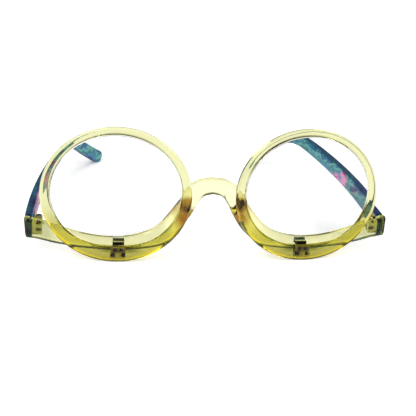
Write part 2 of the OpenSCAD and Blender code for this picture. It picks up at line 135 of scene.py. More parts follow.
def toLinear(hexColour):
    parts = [int(hexColour[i:i + 2], 16) / 255 for i in (1, 3, 5)]
    return [c / 12.92 if c <= 0.04045 else ((c + 0.055) / 1.055) ** 2.4 for c in parts] + [1]


def addNode(tree, kind, settings=None, links=None):
    node = tree.nodes.new("ShaderNode" + kind)
    for name, value in (settings or {}).items():
        if name == "stops":
            ramp = node.color_ramp.elements
            while len(ramp) < len(value):
                ramp.new(1)
            for stop, (at, colour) in zip(ramp, value):
                stop.position, stop.color = at, toLinear(colour)
        elif isinstance(name, int) or name in node.inputs:
            node.inputs[name].default_value = toLinear(value) if isinstance(value, str) else value
        else:
            setattr(node, name, value)
    for name, source in (links or {}).items():
        tree.links.new(source if hasattr(source, "is_output") else source.outputs[0],
                       node.inputs[name])
    return node


# an empty material, and where each point is in millimetres, for its patterns
def newMaterial(name):
    material = bpy.data.materials.new(name)
    material.use_nodes = True
    tree = material.node_tree
    tree.nodes.clear()
    out = tree.nodes.new("ShaderNodeOutputMaterial")
    where = addNode(tree, "TexCoord").outputs["Object"]
    inMm = addNode(tree, "VectorMath", {"operation": "SCALE", "Scale": 1000}, {0: where})
    return material, tree, out, inMm


# moulded acrylic: glossy all over, with a faint waviness from the mould and fine scuffs; a volume
# tints it, so the colour deepens where light travels further in it, and painted shade and reflections
# in its surface colour deepen it more in places; the scuffs are drawn coarser than real ones, so that they
# show
clearLook = {"scuffFrom": 0.35, "scuffTo": 0.75, "waveDepthMm": 0.2}


def clearPlastic(name, look):
    material, tree, out, inMm = newMaterial(name)
    at = addNode(tree, "SeparateXYZ", {}, {0: inMm})
    # painted shade: the surface colour turns from the pale tint to the shaded low tint towards the bottom
    low = addNode(tree, "MapRange", {
        "From Min": look["paleFrom"], "From Max": look["shadedLowFrom"], "interpolation_type": "SMOOTHSTEP",
    }, {"Value": at.outputs["Z"]})
    base = addNode(tree, "MixRGB", {"Color1": look["paleTint"], "Color2": look["shadedLowTint"]}, {"Fac": low})
    off = addNode(tree, "Math", {"operation": "ABSOLUTE"}, {0: at.outputs["X"]})
    flat = addNode(tree, "CombineXYZ", {}, {"X": off, "Z": at.outputs["Z"]})
    if "noseReflectionTint" in look:     # painted reflection: amber of warm surroundings seen in the thick plastic beside the nose
        away = addNode(tree, "VectorMath", {"operation": "DISTANCE", 1: look["noseAt"]}, {0: flat})
        nose = addNode(tree, "MapRange", look["noseReach"], {"Value": away.outputs["Value"]})
        base = addNode(tree, "MixRGB", {"Color2": look["noseReflectionTint"]}, {"Fac": nose, "Color1": base})
    if "endShadeTint" in look:      # painted shade: greyer at the endpieces, where the dark temple ends show through
        ends = addNode(tree, "MapRange", look["endReach"], {"Value": off})
        base = addNode(tree, "MixRGB", {"Color2": look["endShadeTint"]}, {"Fac": ends, "Color1": base})
    if "shadeTint" in look:    # olive beside a flip hinge, whose plate shades the wall there
        beside = addNode(tree, "VectorMath", {"operation": "SUBTRACT", 1: look["shadeAt"]}, {0: flat})
        shrunk = addNode(tree, "VectorMath", {"operation": "DIVIDE", 1: look["shadeSize"]}, {0: beside})
        reach = addNode(tree, "VectorMath", {"operation": "LENGTH"}, {0: shrunk})
        shade = addNode(tree, "MapRange", look["shadeReach"], {"Value": reach.outputs["Value"]})
        base = addNode(tree, "MixRGB", {"Color2": look["shadeTint"]}, {"Fac": shade, "Color1": base})
    if "edgeTint" in look:     # golden along the outer edge, where light gathers
        edge = addNode(tree, "Attribute", {"attribute_name": "outerEdge"})
        base = addNode(tree, "MixRGB", {"Color2": look["edgeTint"]},
                       {"Fac": edge.outputs["Fac"], "Color1": base})
    wave = addNode(tree, "TexNoise", {"Scale": 1 / look["waveMm"], "Detail": 1.0}, {"Vector": inMm})
    scuff = addNode(tree, "TexNoise", {"Scale": 1 / look["scuffMm"], "Detail": 4.0}, {"Vector": inMm})
    rough = addNode(tree, "MapRange", {
        "From Min": clearLook["scuffFrom"], "From Max": clearLook["scuffTo"],
        "To Min": look["rough"][0], "To Max": look["rough"][1],
    }, {"Value": scuff})
    bump = addNode(tree, "Bump", {"Strength": look["bump"], "Distance": clearLook["waveDepthMm"] / 1000},
                   {"Height": wave})
    body = addNode(tree, "BsdfPrincipled", {
        "IOR": look["ior"], "Transmission Weight": 1.0, "Specular Tint": look["glare"],
    }, {"Base Color": base, "Roughness": rough, "Normal": bump})
    tree.links.new(body.outputs[0], out.inputs["Surface"])
    tint = addNode(tree, "VolumeAbsorption", {"Color": look["tint"], "Density": look["density"]})
    tree.links.new(tint.outputs[0], out.inputs["Volume"])
    return material


# plated stamped metal: a soft sheen, uneven in patches, brighter where edges are rubbed and
# near black with painted shade in the recesses; the pores are drawn coarser than real ones, so that they
# show
metalLook = {
    "rubbedFrom": 0.5, "rubbedTo": 0.62, "recessMm": 0.9, "recessShadeAt": {"From Min": 0.9, "From Max": 0.45},
    "patchFrom": 0.3, "patchTo": 0.7, "poreFrom": 0.3, "poreTo": 0.7, "pitting": 0.25,
    "pitDepthMm": 0.04, "weldMm": 0.001, "bevelMm": 0.06, "bevelSteps": 2, "bevelDegrees": 40,
}


def platedMetal(name, look):
    material, tree, out, inMm = newMaterial(name)
    pores = addNode(tree, "TexNoise", {"Scale": 1 / look["poreMm"], "Detail": 3.0}, {"Vector": inMm})
    patches = addNode(tree, "TexNoise", {"Scale": 1 / look["patchMm"], "Detail": 2.0}, {"Vector": inMm})
    edge = addNode(tree, "NewGeometry").outputs["Pointiness"]
    worn = addNode(tree, "MapRange", {
        "From Min": metalLook["rubbedFrom"], "From Max": metalLook["rubbedTo"], "To Max": look["wear"],
    }, {"Value": edge})
    plain = addNode(tree, "ValToRGB", {
        "stops": [(metalLook["patchFrom"], look["dark"]), (metalLook["patchTo"], look["colour"])],
    }, {"Fac": patches})
    rubbed = addNode(tree, "MixRGB", {"Color2": look["bare"]}, {"Fac": worn, "Color1": plain})
    # painted shade: the colour goes near black where ambient occlusion finds a recess
    recess = addNode(tree, "AmbientOcclusion", {
        "Distance": metalLook["recessMm"] / 1000, "samples": 8, "only_local": True,
    })
    recessShade = addNode(tree, "MapRange", metalLook["recessShadeAt"], {"Value": recess.outputs["AO"]})
    colour = addNode(tree, "MixRGB", {"Color2": look["recessShade"]}, {"Fac": recessShade, "Color1": rubbed})
    rough = addNode(tree, "MapRange", {
        "From Min": metalLook["poreFrom"], "From Max": metalLook["poreTo"],
        "To Min": look["rough"][0], "To Max": look["rough"][1],
    }, {"Value": pores})
    bump = addNode(tree, "Bump", {
        "Strength": metalLook["pitting"], "Distance": metalLook["pitDepthMm"] / 1000,
    }, {"Height": pores})
    body = addNode(tree, "BsdfPrincipled", {"Metallic": 1.0, "Specular Tint": look["grazing"]},
                   {"Base Color": colour, "Roughness": rough, "Normal": bump})
    tree.links.new(body.outputs[0], out.inputs["Surface"])
    return material


def newPiece(name, points, faces, material):
    mesh = bpy.data.meshes.new(name)
    mesh.from_pydata([tuple(p) for p in points], [], faces)
    work = bmesh.new()
    work.from_mesh(mesh)
    bmesh.ops.recalc_face_normals(work, faces=work.faces)
    work.to_mesh(mesh)
    work.free()
    piece = bpy.data.objects.new(name, mesh)
    bpy.context.scene.collection.objects.link(piece)
    if material:
        mesh.materials.append(material)
    return piece


# rings of points joined by quads, closed into a hoop or capped at its two ends
def sweep(name, rings, material=None, hoop=False):
    m, n = len(rings[0]), len(rings)
    faces = []
    for i in range(n if hoop else n - 1):
        j = (i + 1) % n
        faces += [(i * m + k, i * m + (k + 1) % m, j * m + (k + 1) % m, j * m + k) for k in range(m)]
    if not hoop:
        faces += [tuple(range(m)), tuple(range((n - 1) * m, n * m))]
    return newPiece(name, [p for ring in rings for p in ring], faces, material)


# the tools that carve takes away from a piece
def block(corners):
    faces = [(0, 1, 3, 2), (4, 5, 7, 6), (0, 1, 5, 4), (2, 3, 7, 6), (0, 2, 6, 4), (1, 3, 7, 5)]
    return newPiece("tool", corners, faces, None)


def blockAt(put, x, v, z, side=1):
    return block([put((a, b, c), side) for a in x for b in v for c in z])


def rodAt(put, x0, x1, v, z, r, side):
    steps = 64
    ring = [(v + r * math.cos(2 * math.pi * i / steps), z + r * math.sin(2 * math.pi * i / steps))
            for i in range(steps)]
    return sweep("tool", [[put((x, b, c), side) for b, c in ring] for x in (x0, x1)])


def carve(piece, tools):
    for tool in tools:
        step = piece.modifiers.new("cut", "BOOLEAN")
        step.operation, step.solver, step.object = "DIFFERENCE", "EXACT", tool
    bpy.context.view_layer.update()
    seen = bpy.context.evaluated_depsgraph_get()
    mesh = bpy.data.meshes.new_from_object(piece.evaluated_get(seen))
    piece.modifiers.clear()
    piece.data = mesh
    for tool in tools:
        bpy.data.objects.remove(tool)


def smooth(piece, angle=35):
    piece.data.shade_smooth()
    piece.data.set_sharp_from_angle(angle=math.radians(angle))


mostRound = 0.49     # the share of a thickness that a rounding may take


# a rectangle with rounded corners, and a few points on its flat sides
def roundedSection(w, t, r, corner=5, flat=3):
    arc = []
    for cx, cy, turnBy in ((1, 1, 0), (-1, 1, 90), (-1, -1, 180), (1, -1, 270)):
        for k in range(corner + 1):
            a = math.radians(turnBy + 90 * k / corner)
            arc.append((cx * (w / 2 - r) + r * math.cos(a), cy * (t / 2 - r) + r * math.sin(a)))
    full = []
    for i, p in enumerate(arc):
        full.append(p)
        if i % (corner + 1) == corner:
            q = arc[(i + 1) % len(arc)]
            full += [(p[0] + (q[0] - p[0]) * s / flat, p[1] + (q[1] - p[1]) * s / flat)
                     for s in range(1, flat)]
    return full


# flip hinge, in the plane of its rim
flip = {
    "w": 5.6, "tabW": 4.4, "midW": 2.2, "r": 1.25, "up": 2.3, "in": 1, "turnPlay": 0.15,
    "play": -0.02, "gap": 0.06, "leafT": 0.95, "sunk": 0.1, "tab": 1.5, "head": 0.5, "halfH": 5.5,
    "halfLift": 4, "web": 0.6, "tongueV": 0.45, "behind": 0.2, "cover": 1.8, "step": 0.1,
}
flipV = frontV + flip["behind"]
flipZ = -rimB + flip["up"]
halfZ = -rimB + flip["halfLift"]
leafTop = halfZ + flip["halfH"] - flip["cover"]
wideTop = leafTop - flip["tab"]


def flipBlock(w, v, z, side):
    return blockAt(rimPlane, (-flip["in"] - w / 2, -flip["in"] + w / 2), v, z, side)


def flipRoom(side):
    half = flip["w"] / 2 + flip["turnPlay"]
    return rodAt(rimPlane, -half - flip["in"], half + flip["head"] - flip["in"], flipV, flipZ,
                 flip["r"] + flip["turnPlay"], side)


# all below the table top: cutting it off leaves the flats that the glasses stand on
def floorBlock():
    reach, deep = 0.2, 0.05
    return block([Vector((a, b, c)) for a in (-reach, reach) for b in (-reach, reach) for c in (-deep, 0)])


# the two flip-down rims
rimLook = {
    "steps": 240, "arcSteps": 8, "flatSteps": 6, "grooveDepth": 0.7, "grooveW": 1.7, "grooveWall": 0.2,
    "lensPlay": 0.05, "bossPower": 8, "over": 0.5, "apart": 0.02,
    "goldFrom": 4, "goldFade": 12, "goldWide": 1.5, "goldSoft": 0.7,      # the golden edge, low down
}
grooveV = (place["rimT"] - rimLook["grooveW"]) / 2
tongueTop = -rimB + place["rimBottom"] + place["rimBoss"] - rimLook["grooveDepth"] - rimLook["grooveWall"]


def openingAt(t, grow):
    lift = place["rimBoss"] * max(0, -math.sin(t)) ** rimLook["bossPower"]     # flatter over the hinge
    return Vector(((openA + grow) * math.cos(t), openUp + (openB + grow) * math.sin(t) + lift))


# what the rims and the front share: a lemon tint, with painted shade that makes it deeper and more olive
# low down
plasticLook = {
    "tint": "#F2ED3C", "density": 190.0, "ior": 1.49, "waveMm": 9.0, "scuffMm": 0.8,
    "rough": (0.02, 0.06), "bump": 0.03, "paleFrom": 25.0, "shadedLowFrom": 9.0, "shadedLowTint": "#D6D27C",
    "paleTint": "#ECEEE2", "glare": "#B0B0B0",
}
rimPlastic = clearPlastic("acrylic_moulded_rim", {
    **plasticLook, "edgeTint": "#F8E440",
    "shadeTint": "#86843A", "shadeAt": (36.4, 0.0, 4.7), "shadeSize": (10.5, 1.0, 1.3),
    "shadeReach": {"From Min": 1.0, "From Max": 0.5},
    # painted reflection: amber in the thick plastic beside the nose
    "noseReflectionTint": "#A5822E", "noseAt": (10.4, 0.0, 23.2), "noseReach": {"From Min": 3.6, "From Max": 2.2},
})


# a rim's section: u across its wall, v through it; None stands for the bottom of the groove
def rimSection(width):
    t, r = place["rimT"], place["rimRound"]
    cu, cv, lip = width / 2 - r, t / 2 - r, rimLook["grooveW"] / 2
    stop = math.degrees(math.asin((lip - cv) / r))
    arcs = ((cu, cv, 0, 90), (-cu, cv, 90, 180 - stop), (-cu, -cv, 180 + stop, 270), (cu, -cv, 270, 360))
    section = []
    arcSteps, flatSteps = rimLook["arcSteps"], rimLook["flatSteps"]
    for n, (u, v, a0, a1) in enumerate(arcs):
        for k in range(arcSteps + 1):
            a = math.radians(a0 + (a1 - a0) * k / arcSteps)
            section.append((u + r * math.cos(a), v + r * math.sin(a)))
        if n == 1:
            section += [(None, lip), (None, -lip)]
        elif n < 3:     # points on the flat faces, so that the tint's edge stays narrow
            way = 1 if n == 0 else -1
            section += [(way * cu * (1 - 2 * k / flatSteps), way * t / 2) for k in range(1, flatSteps)]
    return section


def clamp(share):
    return max(0, min(1, share))


def makeRim(name, side):
    rings = []
    grow = rimLook["grooveDepth"]
    for i in range(rimLook["steps"]):
        t = 2 * math.pi * i / rimLook["steps"]
        outer = Vector((rimA * math.cos(t), rimB * math.sin(t)))
        inner, deep = openingAt(t, 0), openingAt(t, grow)
        across, middle = (outer - inner).normalized(), (outer + inner) / 2
        width = (outer - inner).length
        ring = []
        for u, v in rimSection(width):
            p = deep if u is None else middle + across * u
            ring.append(rimPlane((p.x, place["rimT"] / 2 + v, p.y), side))
        rings.append(ring)
    rim = sweep(name, rings, rimPlastic, hoop=True)
    play, over = flip["play"], rimLook["over"]
    deep = (flip["tongueV"] - play, place["rimT"] + 2 * over)
    tongueLow = flipZ + flip["r"] + flip["turnPlay"] + flip["step"]
    carve(rim, [
        flipBlock(flip["w"] + 2 * play, deep, (tongueLow - play, tongueTop + play), side),
        flipBlock(flip["midW"] + 2 * play, (deep[0] + rimLook["apart"], deep[1] + over),
                  (flipZ - flip["web"] - play, tongueLow + over), side),
        flipRoom(side), floorBlock(),
    ])
    smooth(rim)
    values = []      # how golden the outer edge is at a point
    for vertex in rim.data.vertices:
        x, y, z = vertex.co.x * side * 1000, vertex.co.y * 1000 + midY, vertex.co.z * 1000 - standZ
        up, back = z * math.cos(lean) + y * math.sin(lean), y * math.cos(lean) - z * math.sin(lean)
        along = (x - rimCx) * math.cos(wrap) + back * math.sin(wrap)
        inFrom = rimB * (1 - math.hypot(along / rimA, up / rimB))
        lower = clamp((-rimLook["goldFrom"] - up) / rimLook["goldFade"])
        values.append(lower * clamp((rimLook["goldWide"] - inFrom) / rimLook["goldSoft"]))
    rim.data.attributes.new("outerEdge", "FLOAT", "POINT").data.foreach_set("value", values)
    return rim


# the magnifying lenses: a curve of 100 mm in front and 200 mm behind, and an edge in the groove
lensLook = {"frontR": 100, "backR": 200, "rings": 28, "steps": 240, "heart": 0.02}
# cast acrylic, polished: almost colourless, and its edge looks a little green
lensPlastic = clearPlastic("acrylic_cast_lens", {
    "tint": "#E9F5F0", "density": 12.0, "ior": 1.49, "waveMm": 30.0, "scuffMm": 1.5,
    "rough": (0.0, 0.015), "bump": 0.004, "glare": "#3C3C3C", "paleFrom": 25.0, "shadedLowFrom": 9.0,
    "paleTint": "#FFFFFF", "shadedLowTint": "#FCFDFD",
})


# how far a curve of radius r falls back at x from its middle
def sag(r, x):
    return r - math.sqrt(r * r - x * x)


def makeLens(name, side):
    play = rimLook["lensPlay"]
    reach = rimLook["grooveDepth"] - play
    frontAt = grooveV + play - sag(lensLook["frontR"], openA + reach)
    backAt = grooveV + rimLook["grooveW"] - play - sag(lensLook["backR"], openA + reach)

    # the opening's outline, grown and then shrunk to a share, as far back as the height says
    def ringAt(grow, share, height):
        ring = []
        for i in range(lensLook["steps"]):
            t = 2 * math.pi * i / lensLook["steps"]
            p = (openingAt(t, grow) - Vector((0, openUp))) * share
            ring.append(rimPlane((p.x, height(p.length), p.y + openUp), side))
        return ring

    def frontFace(d):
        return frontAt + sag(lensLook["frontR"], d)

    def backFace(d):
        return backAt + sag(lensLook["backR"], d)

    n, heart = lensLook["rings"], lensLook["heart"]
    shares = [(k + heart) / (n + heart) for k in range(n + 1)]
    lowSide, highSide = grooveV + play, grooveV + rimLook["grooveW"] - play
    rings = [ringAt(-play, share, frontFace) for share in shares]
    rings.append(ringAt(-play, 1, lambda d: max(lowSide, frontFace(d))))
    rings.append(ringAt(reach, 1, lambda d: max(lowSide, frontFace(d))))
    rings.append(ringAt(reach, 1, lambda d: min(highSide, backFace(d))))
    rings += [ringAt(-play, share, backFace) for share in reversed(shares)]
    lens = sweep(name, rings, lensPlastic)
    smooth(lens, angle=25)
    return lens


for word, side in sides.items():
    body = "flip_" + word
    rim = makeRim("clear_rim_" + word, side)
    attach(rim, body)
    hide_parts("flip_rim_" + word)
    lens = makeLens("magnifier_" + word, side)
    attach(lens, body)
    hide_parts("lens_" + word)
print("rims and lenses made")

# the front: bridge, nose struts, half rims and endpieces in one moulded band
front = {
    "bridgeH": 6.5, "bridgeTop": 6.8, "endH": 8.2, "round": 1.4, "steps": 20,
    "pad": 3.0, "padFrom": 2.5, "padTo": 4.6, "padRound": 0.6, "endRound": 0.9, "endSteps": 8, "endFrom": 3,
    "over": 1, "apart": 0.005,
}
bTop, bLow = front["bridgeTop"], front["bridgeTop"] - front["bridgeH"]
endTop, endLow = -place["endDrop"] + front["endH"] / 2, -place["endDrop"] - front["endH"] / 2
halfTop = halfZ + flip["halfH"]


def between(a, b, f):
    return a + (b - a) * f


# the upper and the lower edge from the middle of the bridge to the end of an endpiece
upperEdge = [
    (0, bTop), (5.2, bTop - 0.9), (9.6, bTop - 3.6),
    (rimCx - 0.84 * rimA, -0.08 * rimB), (rimCx - 0.684 * rimA, -0.31 * rimB),
    (rimCx - 0.502 * rimA, -0.497 * rimB), (rimCx - 0.27 * rimA, halfTop + 1),
    (rimCx, halfTop), (rimCx + 0.32 * rimA, halfTop + 0.7),
    (rimCx + 0.7 * rimA, between(halfTop, endTop, 0.48)),
    (endX - 6.5, endTop - 1.5), (endX, endTop),
]
lowerEdge = [
    (0, bLow), (3.6, bLow - 1), (6.3, bLow - 4.6),
    (rimCx - rimA, -0.326 * rimB), (rimCx - 0.86 * rimA, -0.56 * rimB),
    (rimCx - 0.63 * rimA, -0.757 * rimB), (rimCx - 0.345 * rimA, halfZ + 0.6),
    (rimCx, halfZ), (rimCx + 0.355 * rimA, halfZ + 0.5),
    (rimCx + 0.73 * rimA, between(halfZ, endLow, 0.41)),
    (endX - 6.3, endLow - 0.9), (endX - 0.6, endLow),
]


# a smooth curve through the points, with n steps between each two
def curveThrough(points, n):
    pts = [Vector(p) for p in points]
    out = []
    for i in range(len(pts) - 1):
        a, b, c, d = (pts[max(0, min(len(pts) - 1, i + k))] for k in (-1, 0, 1, 2))
        for k in range(n):
            t = k / n
            out.append(0.5 * (2 * b + (c - a) * t + (2 * a - 5 * b + 4 * c - d) * t * t
                              + (3 * b - a - 3 * c + d) * t ** 3))
    return out + [pts[-1]]


def makeFront(name):
    n = front["steps"]
    above, below = curveThrough(upperEdge, n), curveThrough(lowerEdge, n)
    last = len(above) - 1
    start = last - front["endFrom"]
    stations = [(above[i], below[i], 0, i / n) for i in range(start + 1)]
    a0, b0 = above[start], below[start]
    for k in range(1, front["endSteps"] + 1):      # the rounded outer end of an endpiece
        f = math.sin(math.radians(90 * k / front["endSteps"]))
        cut = front["endRound"] * (1 - math.sqrt(max(0, 1 - f * f)))
        stations.append((between(a0, above[last], f), between(b0, below[last], f), cut, last / n))
    rings = []
    for sign in (-1, 1):
        order = reversed(stations[1:]) if sign < 0 else stations
        for top, low, cut, at in order:
            x = (top.x + low.x) / 2
            slope = -math.tan(wrap) * x / math.hypot(x, place["bridgeSoft"])
            through = Vector((slope, 1, 0)).normalized()
            rising = Vector((top.x - low.x, 0, top.y - low.y))
            across = Vector((rising.x, -rising.x * through.x / through.y, rising.z)).normalized()
            f = clamp((at - front["padFrom"]) / (front["padTo"] - front["padFrom"]))
            pad = math.sin(math.pi * f) ** 2      # thicker where the nose pads are
            thick = place["frontT"] + front["pad"] * pad
            middle = Vector((x, planeY(x, frontV + thick / 2), (top.y + low.y) / 2))
            flat = thick - 2 * cut
            section = roundedSection(rising.length - 2 * cut, flat,
                                     min(front["round"] + front["padRound"] * pad, mostRound * flat))
            rings.append([onTable(middle + across * u + through * w, sign) for u, w in section])
    return sweep(name, rings, frontPlastic)


frontPlastic = clearPlastic("acrylic_moulded_front", {
    **plasticLook, "density": 125.0, "paleTint": "#FFFFFF", "shadedLowTint": "#FFFFF2",
    # painted reflection: amber in the thick plastic beside the nose
    "noseReflectionTint": "#AC761A", "noseAt": (9.9, 0.0, 16.4), "noseReach": {"From Min": 5.8, "From Max": 2.4},
    # painted shade: greyer at the endpieces, where the dark temple ends show through
    "endShadeTint": "#DDE2CC", "endReach": {"From Min": 56.0, "From Max": 64.0},
})
frontPiece = makeFront("clear_front")
tools = []
over, apart = front["over"], front["apart"]      # cuts that share a plane leave stray faces
for side in sides.values():
    play, leafT, gap = flip["play"], flip["leafT"], flip["gap"]
    v = frontV + flip["sunk"]
    leafBack, throughBack = v + leafT + play, backV - flip["sunk"] + 2 * play
    tools += [
        flipBlock(flip["w"] + 2 * play, (frontV - over, leafBack), (flipZ - play, wideTop + play), side),
        flipBlock(flip["tabW"] + 2 * play, (frontV - over - apart, leafBack + apart),
                  (flipZ, leafTop + gap), side),
        flipBlock(flip["tabW"] + 2 * (play + apart), (v, throughBack),
                  (leafTop - leafT - play, leafTop + gap + apart), side),
    ]
    play, leafT, edge = hinge["play"], hinge["leafT"], hinge["edge"]
    u = (hingeX - rimCx + backV * math.sin(wrap)) / math.cos(wrap) + hinge["leafOut"]
    half, tall, z = hinge["leafW"] / 2 + play, hinge["h"] / 2 + play, -place["endDrop"]
    tools.append(blockAt(rimPlane, (u - half, u + half), (backV - leafT - play, backV + leafT + play),
                         (z - tall - edge, z + tall + edge), side))
    tools.append(blockAt(standing, (hingeX - hinge["web"] - play, hingeX + hinge["web"] + play),
                         (endBack - leafT / 2 - play, endBack + leafT / 2),
                         (hingeZ - tall, hingeZ + tall), side))
carve(frontPiece, tools)
smooth(frontPiece)
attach(frontPiece, "front")
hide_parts("front_frame")
print("front made")


# temples: moulded polycarbonate with a mottled film under thin lacquer, so the colours are deep
# and the shine is soft; the film's back, on the inner face, is much paler
mottle = {
    "stretch": (1.0, 0.6, 1.0), "bendMm": 20 / 3, "bendBy": 4.0, "blotchMm": 5.5, "blotchRough": 0.6,
    "fleckMm": 1.1, "fleckShare": 0.22, "topDark": -0.13, "bloomMm": 9, "bloomW": 11.0,
    "bloomAt": {"From Min": 0.54, "From Max": 0.6}, "bloomFade": {"From Min": 34.0, "From Max": 22.0},
    "innerAt": {"From Min": 0.84, "From Max": 0.97},
    "scuffMm": 5 / 6, "scuffFrom": 0.3, "scuffTo": 0.7, "rough": (0.35, 0.5),
    "bump": 0.05, "bumpDepthMm": 0.1, "ior": 1.5, "shine": 0.3, "coat": 0.06, "coatRough": 0.08,
    "outer": [(0.22, "#050F2A"), (0.34, "#0B2C6A"), (0.43, "#083A44"), (0.52, "#12587A"),
              (0.64, "#18246C")],
    "inner": [(0.26, "#06173E"), (0.35, "#0B3B78"), (0.42, "#136A8A"), (0.48, "#68B8AE"), (0.53, "#1A6672"),
              (0.60, "#4090B4"), (0.68, "#142C78")],
    "bloom": [(0.34, "#2A1C5A"), (0.42, "#8A3C84"), (0.50, "#D8649A"), (0.57, "#E4A6C8"),
              (0.66, "#7F78C4")],
}


def templePlastic():
    material, tree, out, inMm = newMaterial("polycarbonate_mottled_film")
    stretched = addNode(tree, "Mapping", {"Scale": mottle["stretch"]}, {"Vector": inMm})
    bent = addNode(tree, "TexNoise", {"Scale": 1 / mottle["bendMm"], "Detail": 2.0}, {"Vector": stretched})
    push = addNode(tree, "VectorMath", {"operation": "SCALE", "Scale": mottle["bendBy"]},
                   {0: bent.outputs["Color"]})
    where = addNode(tree, "VectorMath", {"operation": "ADD"}, {0: stretched, 1: push})
    big = addNode(tree, "TexNoise", {
        "Scale": 1 / mottle["blotchMm"], "Detail": 3.0, "Roughness": mottle["blotchRough"],
    }, {"Vector": where})
    fleck = addNode(tree, "TexNoise", {"Scale": 1 / mottle["fleckMm"], "Detail": 2.0}, {"Vector": where})
    plain = addNode(tree, "MixRGB", {"Fac": mottle["fleckShare"]}, {"Color1": big, "Color2": fleck})
    high = addNode(tree, "Attribute", {"attribute_name": "highSide"})     # darker towards the top edge
    spread = addNode(tree, "Math", {"operation": "MULTIPLY_ADD", 1: mottle["topDark"]},
                     {0: high.outputs["Fac"], 2: plain})
    outer = addNode(tree, "ValToRGB", {"stops": mottle["outer"]}, {"Fac": spread})
    inner = addNode(tree, "ValToRGB", {"stops": mottle["inner"]}, {"Fac": spread})
    bloom = addNode(tree, "ValToRGB", {"stops": mottle["bloom"]}, {"Fac": spread})
    places = addNode(tree, "TexNoise", {
        "noise_dimensions": "4D", "W": mottle["bloomW"], "Detail": 2.0, "Scale": 1 / mottle["bloomMm"],
    }, {"Vector": where})
    blooms = addNode(tree, "MapRange", mottle["bloomAt"], {"Value": places})
    spot = addNode(tree, "SeparateXYZ", {}, {0: inMm})
    fade = addNode(tree, "MapRange", mottle["bloomFade"], {"Value": spot.outputs["Y"]})
    petals = addNode(tree, "Math", {"operation": "MULTIPLY"}, {0: blooms, 1: fade})
    mixed = addNode(tree, "MixRGB", {}, {"Fac": petals, "Color1": inner, "Color2": bloom})
    side = addNode(tree, "Attribute", {"attribute_name": "innerSide"})
    share = addNode(tree, "MapRange", mottle["innerAt"], {"Value": side.outputs["Fac"]})
    colour = addNode(tree, "MixRGB", {}, {"Fac": share, "Color1": outer, "Color2": mixed})
    scuff = addNode(tree, "TexNoise", {"Scale": 1 / mottle["scuffMm"], "Detail": 4.0}, {"Vector": inMm})
    rough = addNode(tree, "MapRange", {
        "From Min": mottle["scuffFrom"], "From Max": mottle["scuffTo"],
        "To Min": mottle["rough"][0], "To Max": mottle["rough"][1],
    }, {"Value": scuff})
    bump = addNode(tree, "Bump", {"Strength": mottle["bump"], "Distance": mottle["bumpDepthMm"] / 1000},
                   {"Height": big})
    body = addNode(tree, "BsdfPrincipled", {
        "IOR": mottle["ior"], "Specular IOR Level": mottle["shine"],
        "Coat Weight": mottle["coat"], "Coat Roughness": mottle["coatRough"],
    }, {"Base Color": colour, "Roughness": rough, "Normal": bump})
    tree.links.new(body.outputs[0], out.inputs["Surface"])
    return material


# where a point lies along the arm, and how far the temple bows in there
def along(y):
    return max(0, y - endBack) / temple["arm"]


def inward(y):
    a = along(y)
    return temple["in"] * a + temple["bow"] * a ** 2 + temple["hook"] * a ** 6


def templeRing(y, z, angle, h, t, side):
    a, s = along(y), 0
    if y >= endBack:      # the slope of inward
        s = (temple["in"] + 2 * temple["bow"] * a + 6 * temple["hook"] * a ** 5) / temple["arm"]
    ahead = Vector((-s * math.cos(angle), math.cos(angle), math.sin(angle))).normalized()
    through = Vector((1, s, 0)).normalized()
    across = ahead.cross(through)
    middle = Vector((templeX - inward(y), y, z))
    section = roundedSection(h, t, min(temple["round"], mostRound * t, mostRound * h))
    return [standing(middle + across * u + through * w, side) for u, w in section]


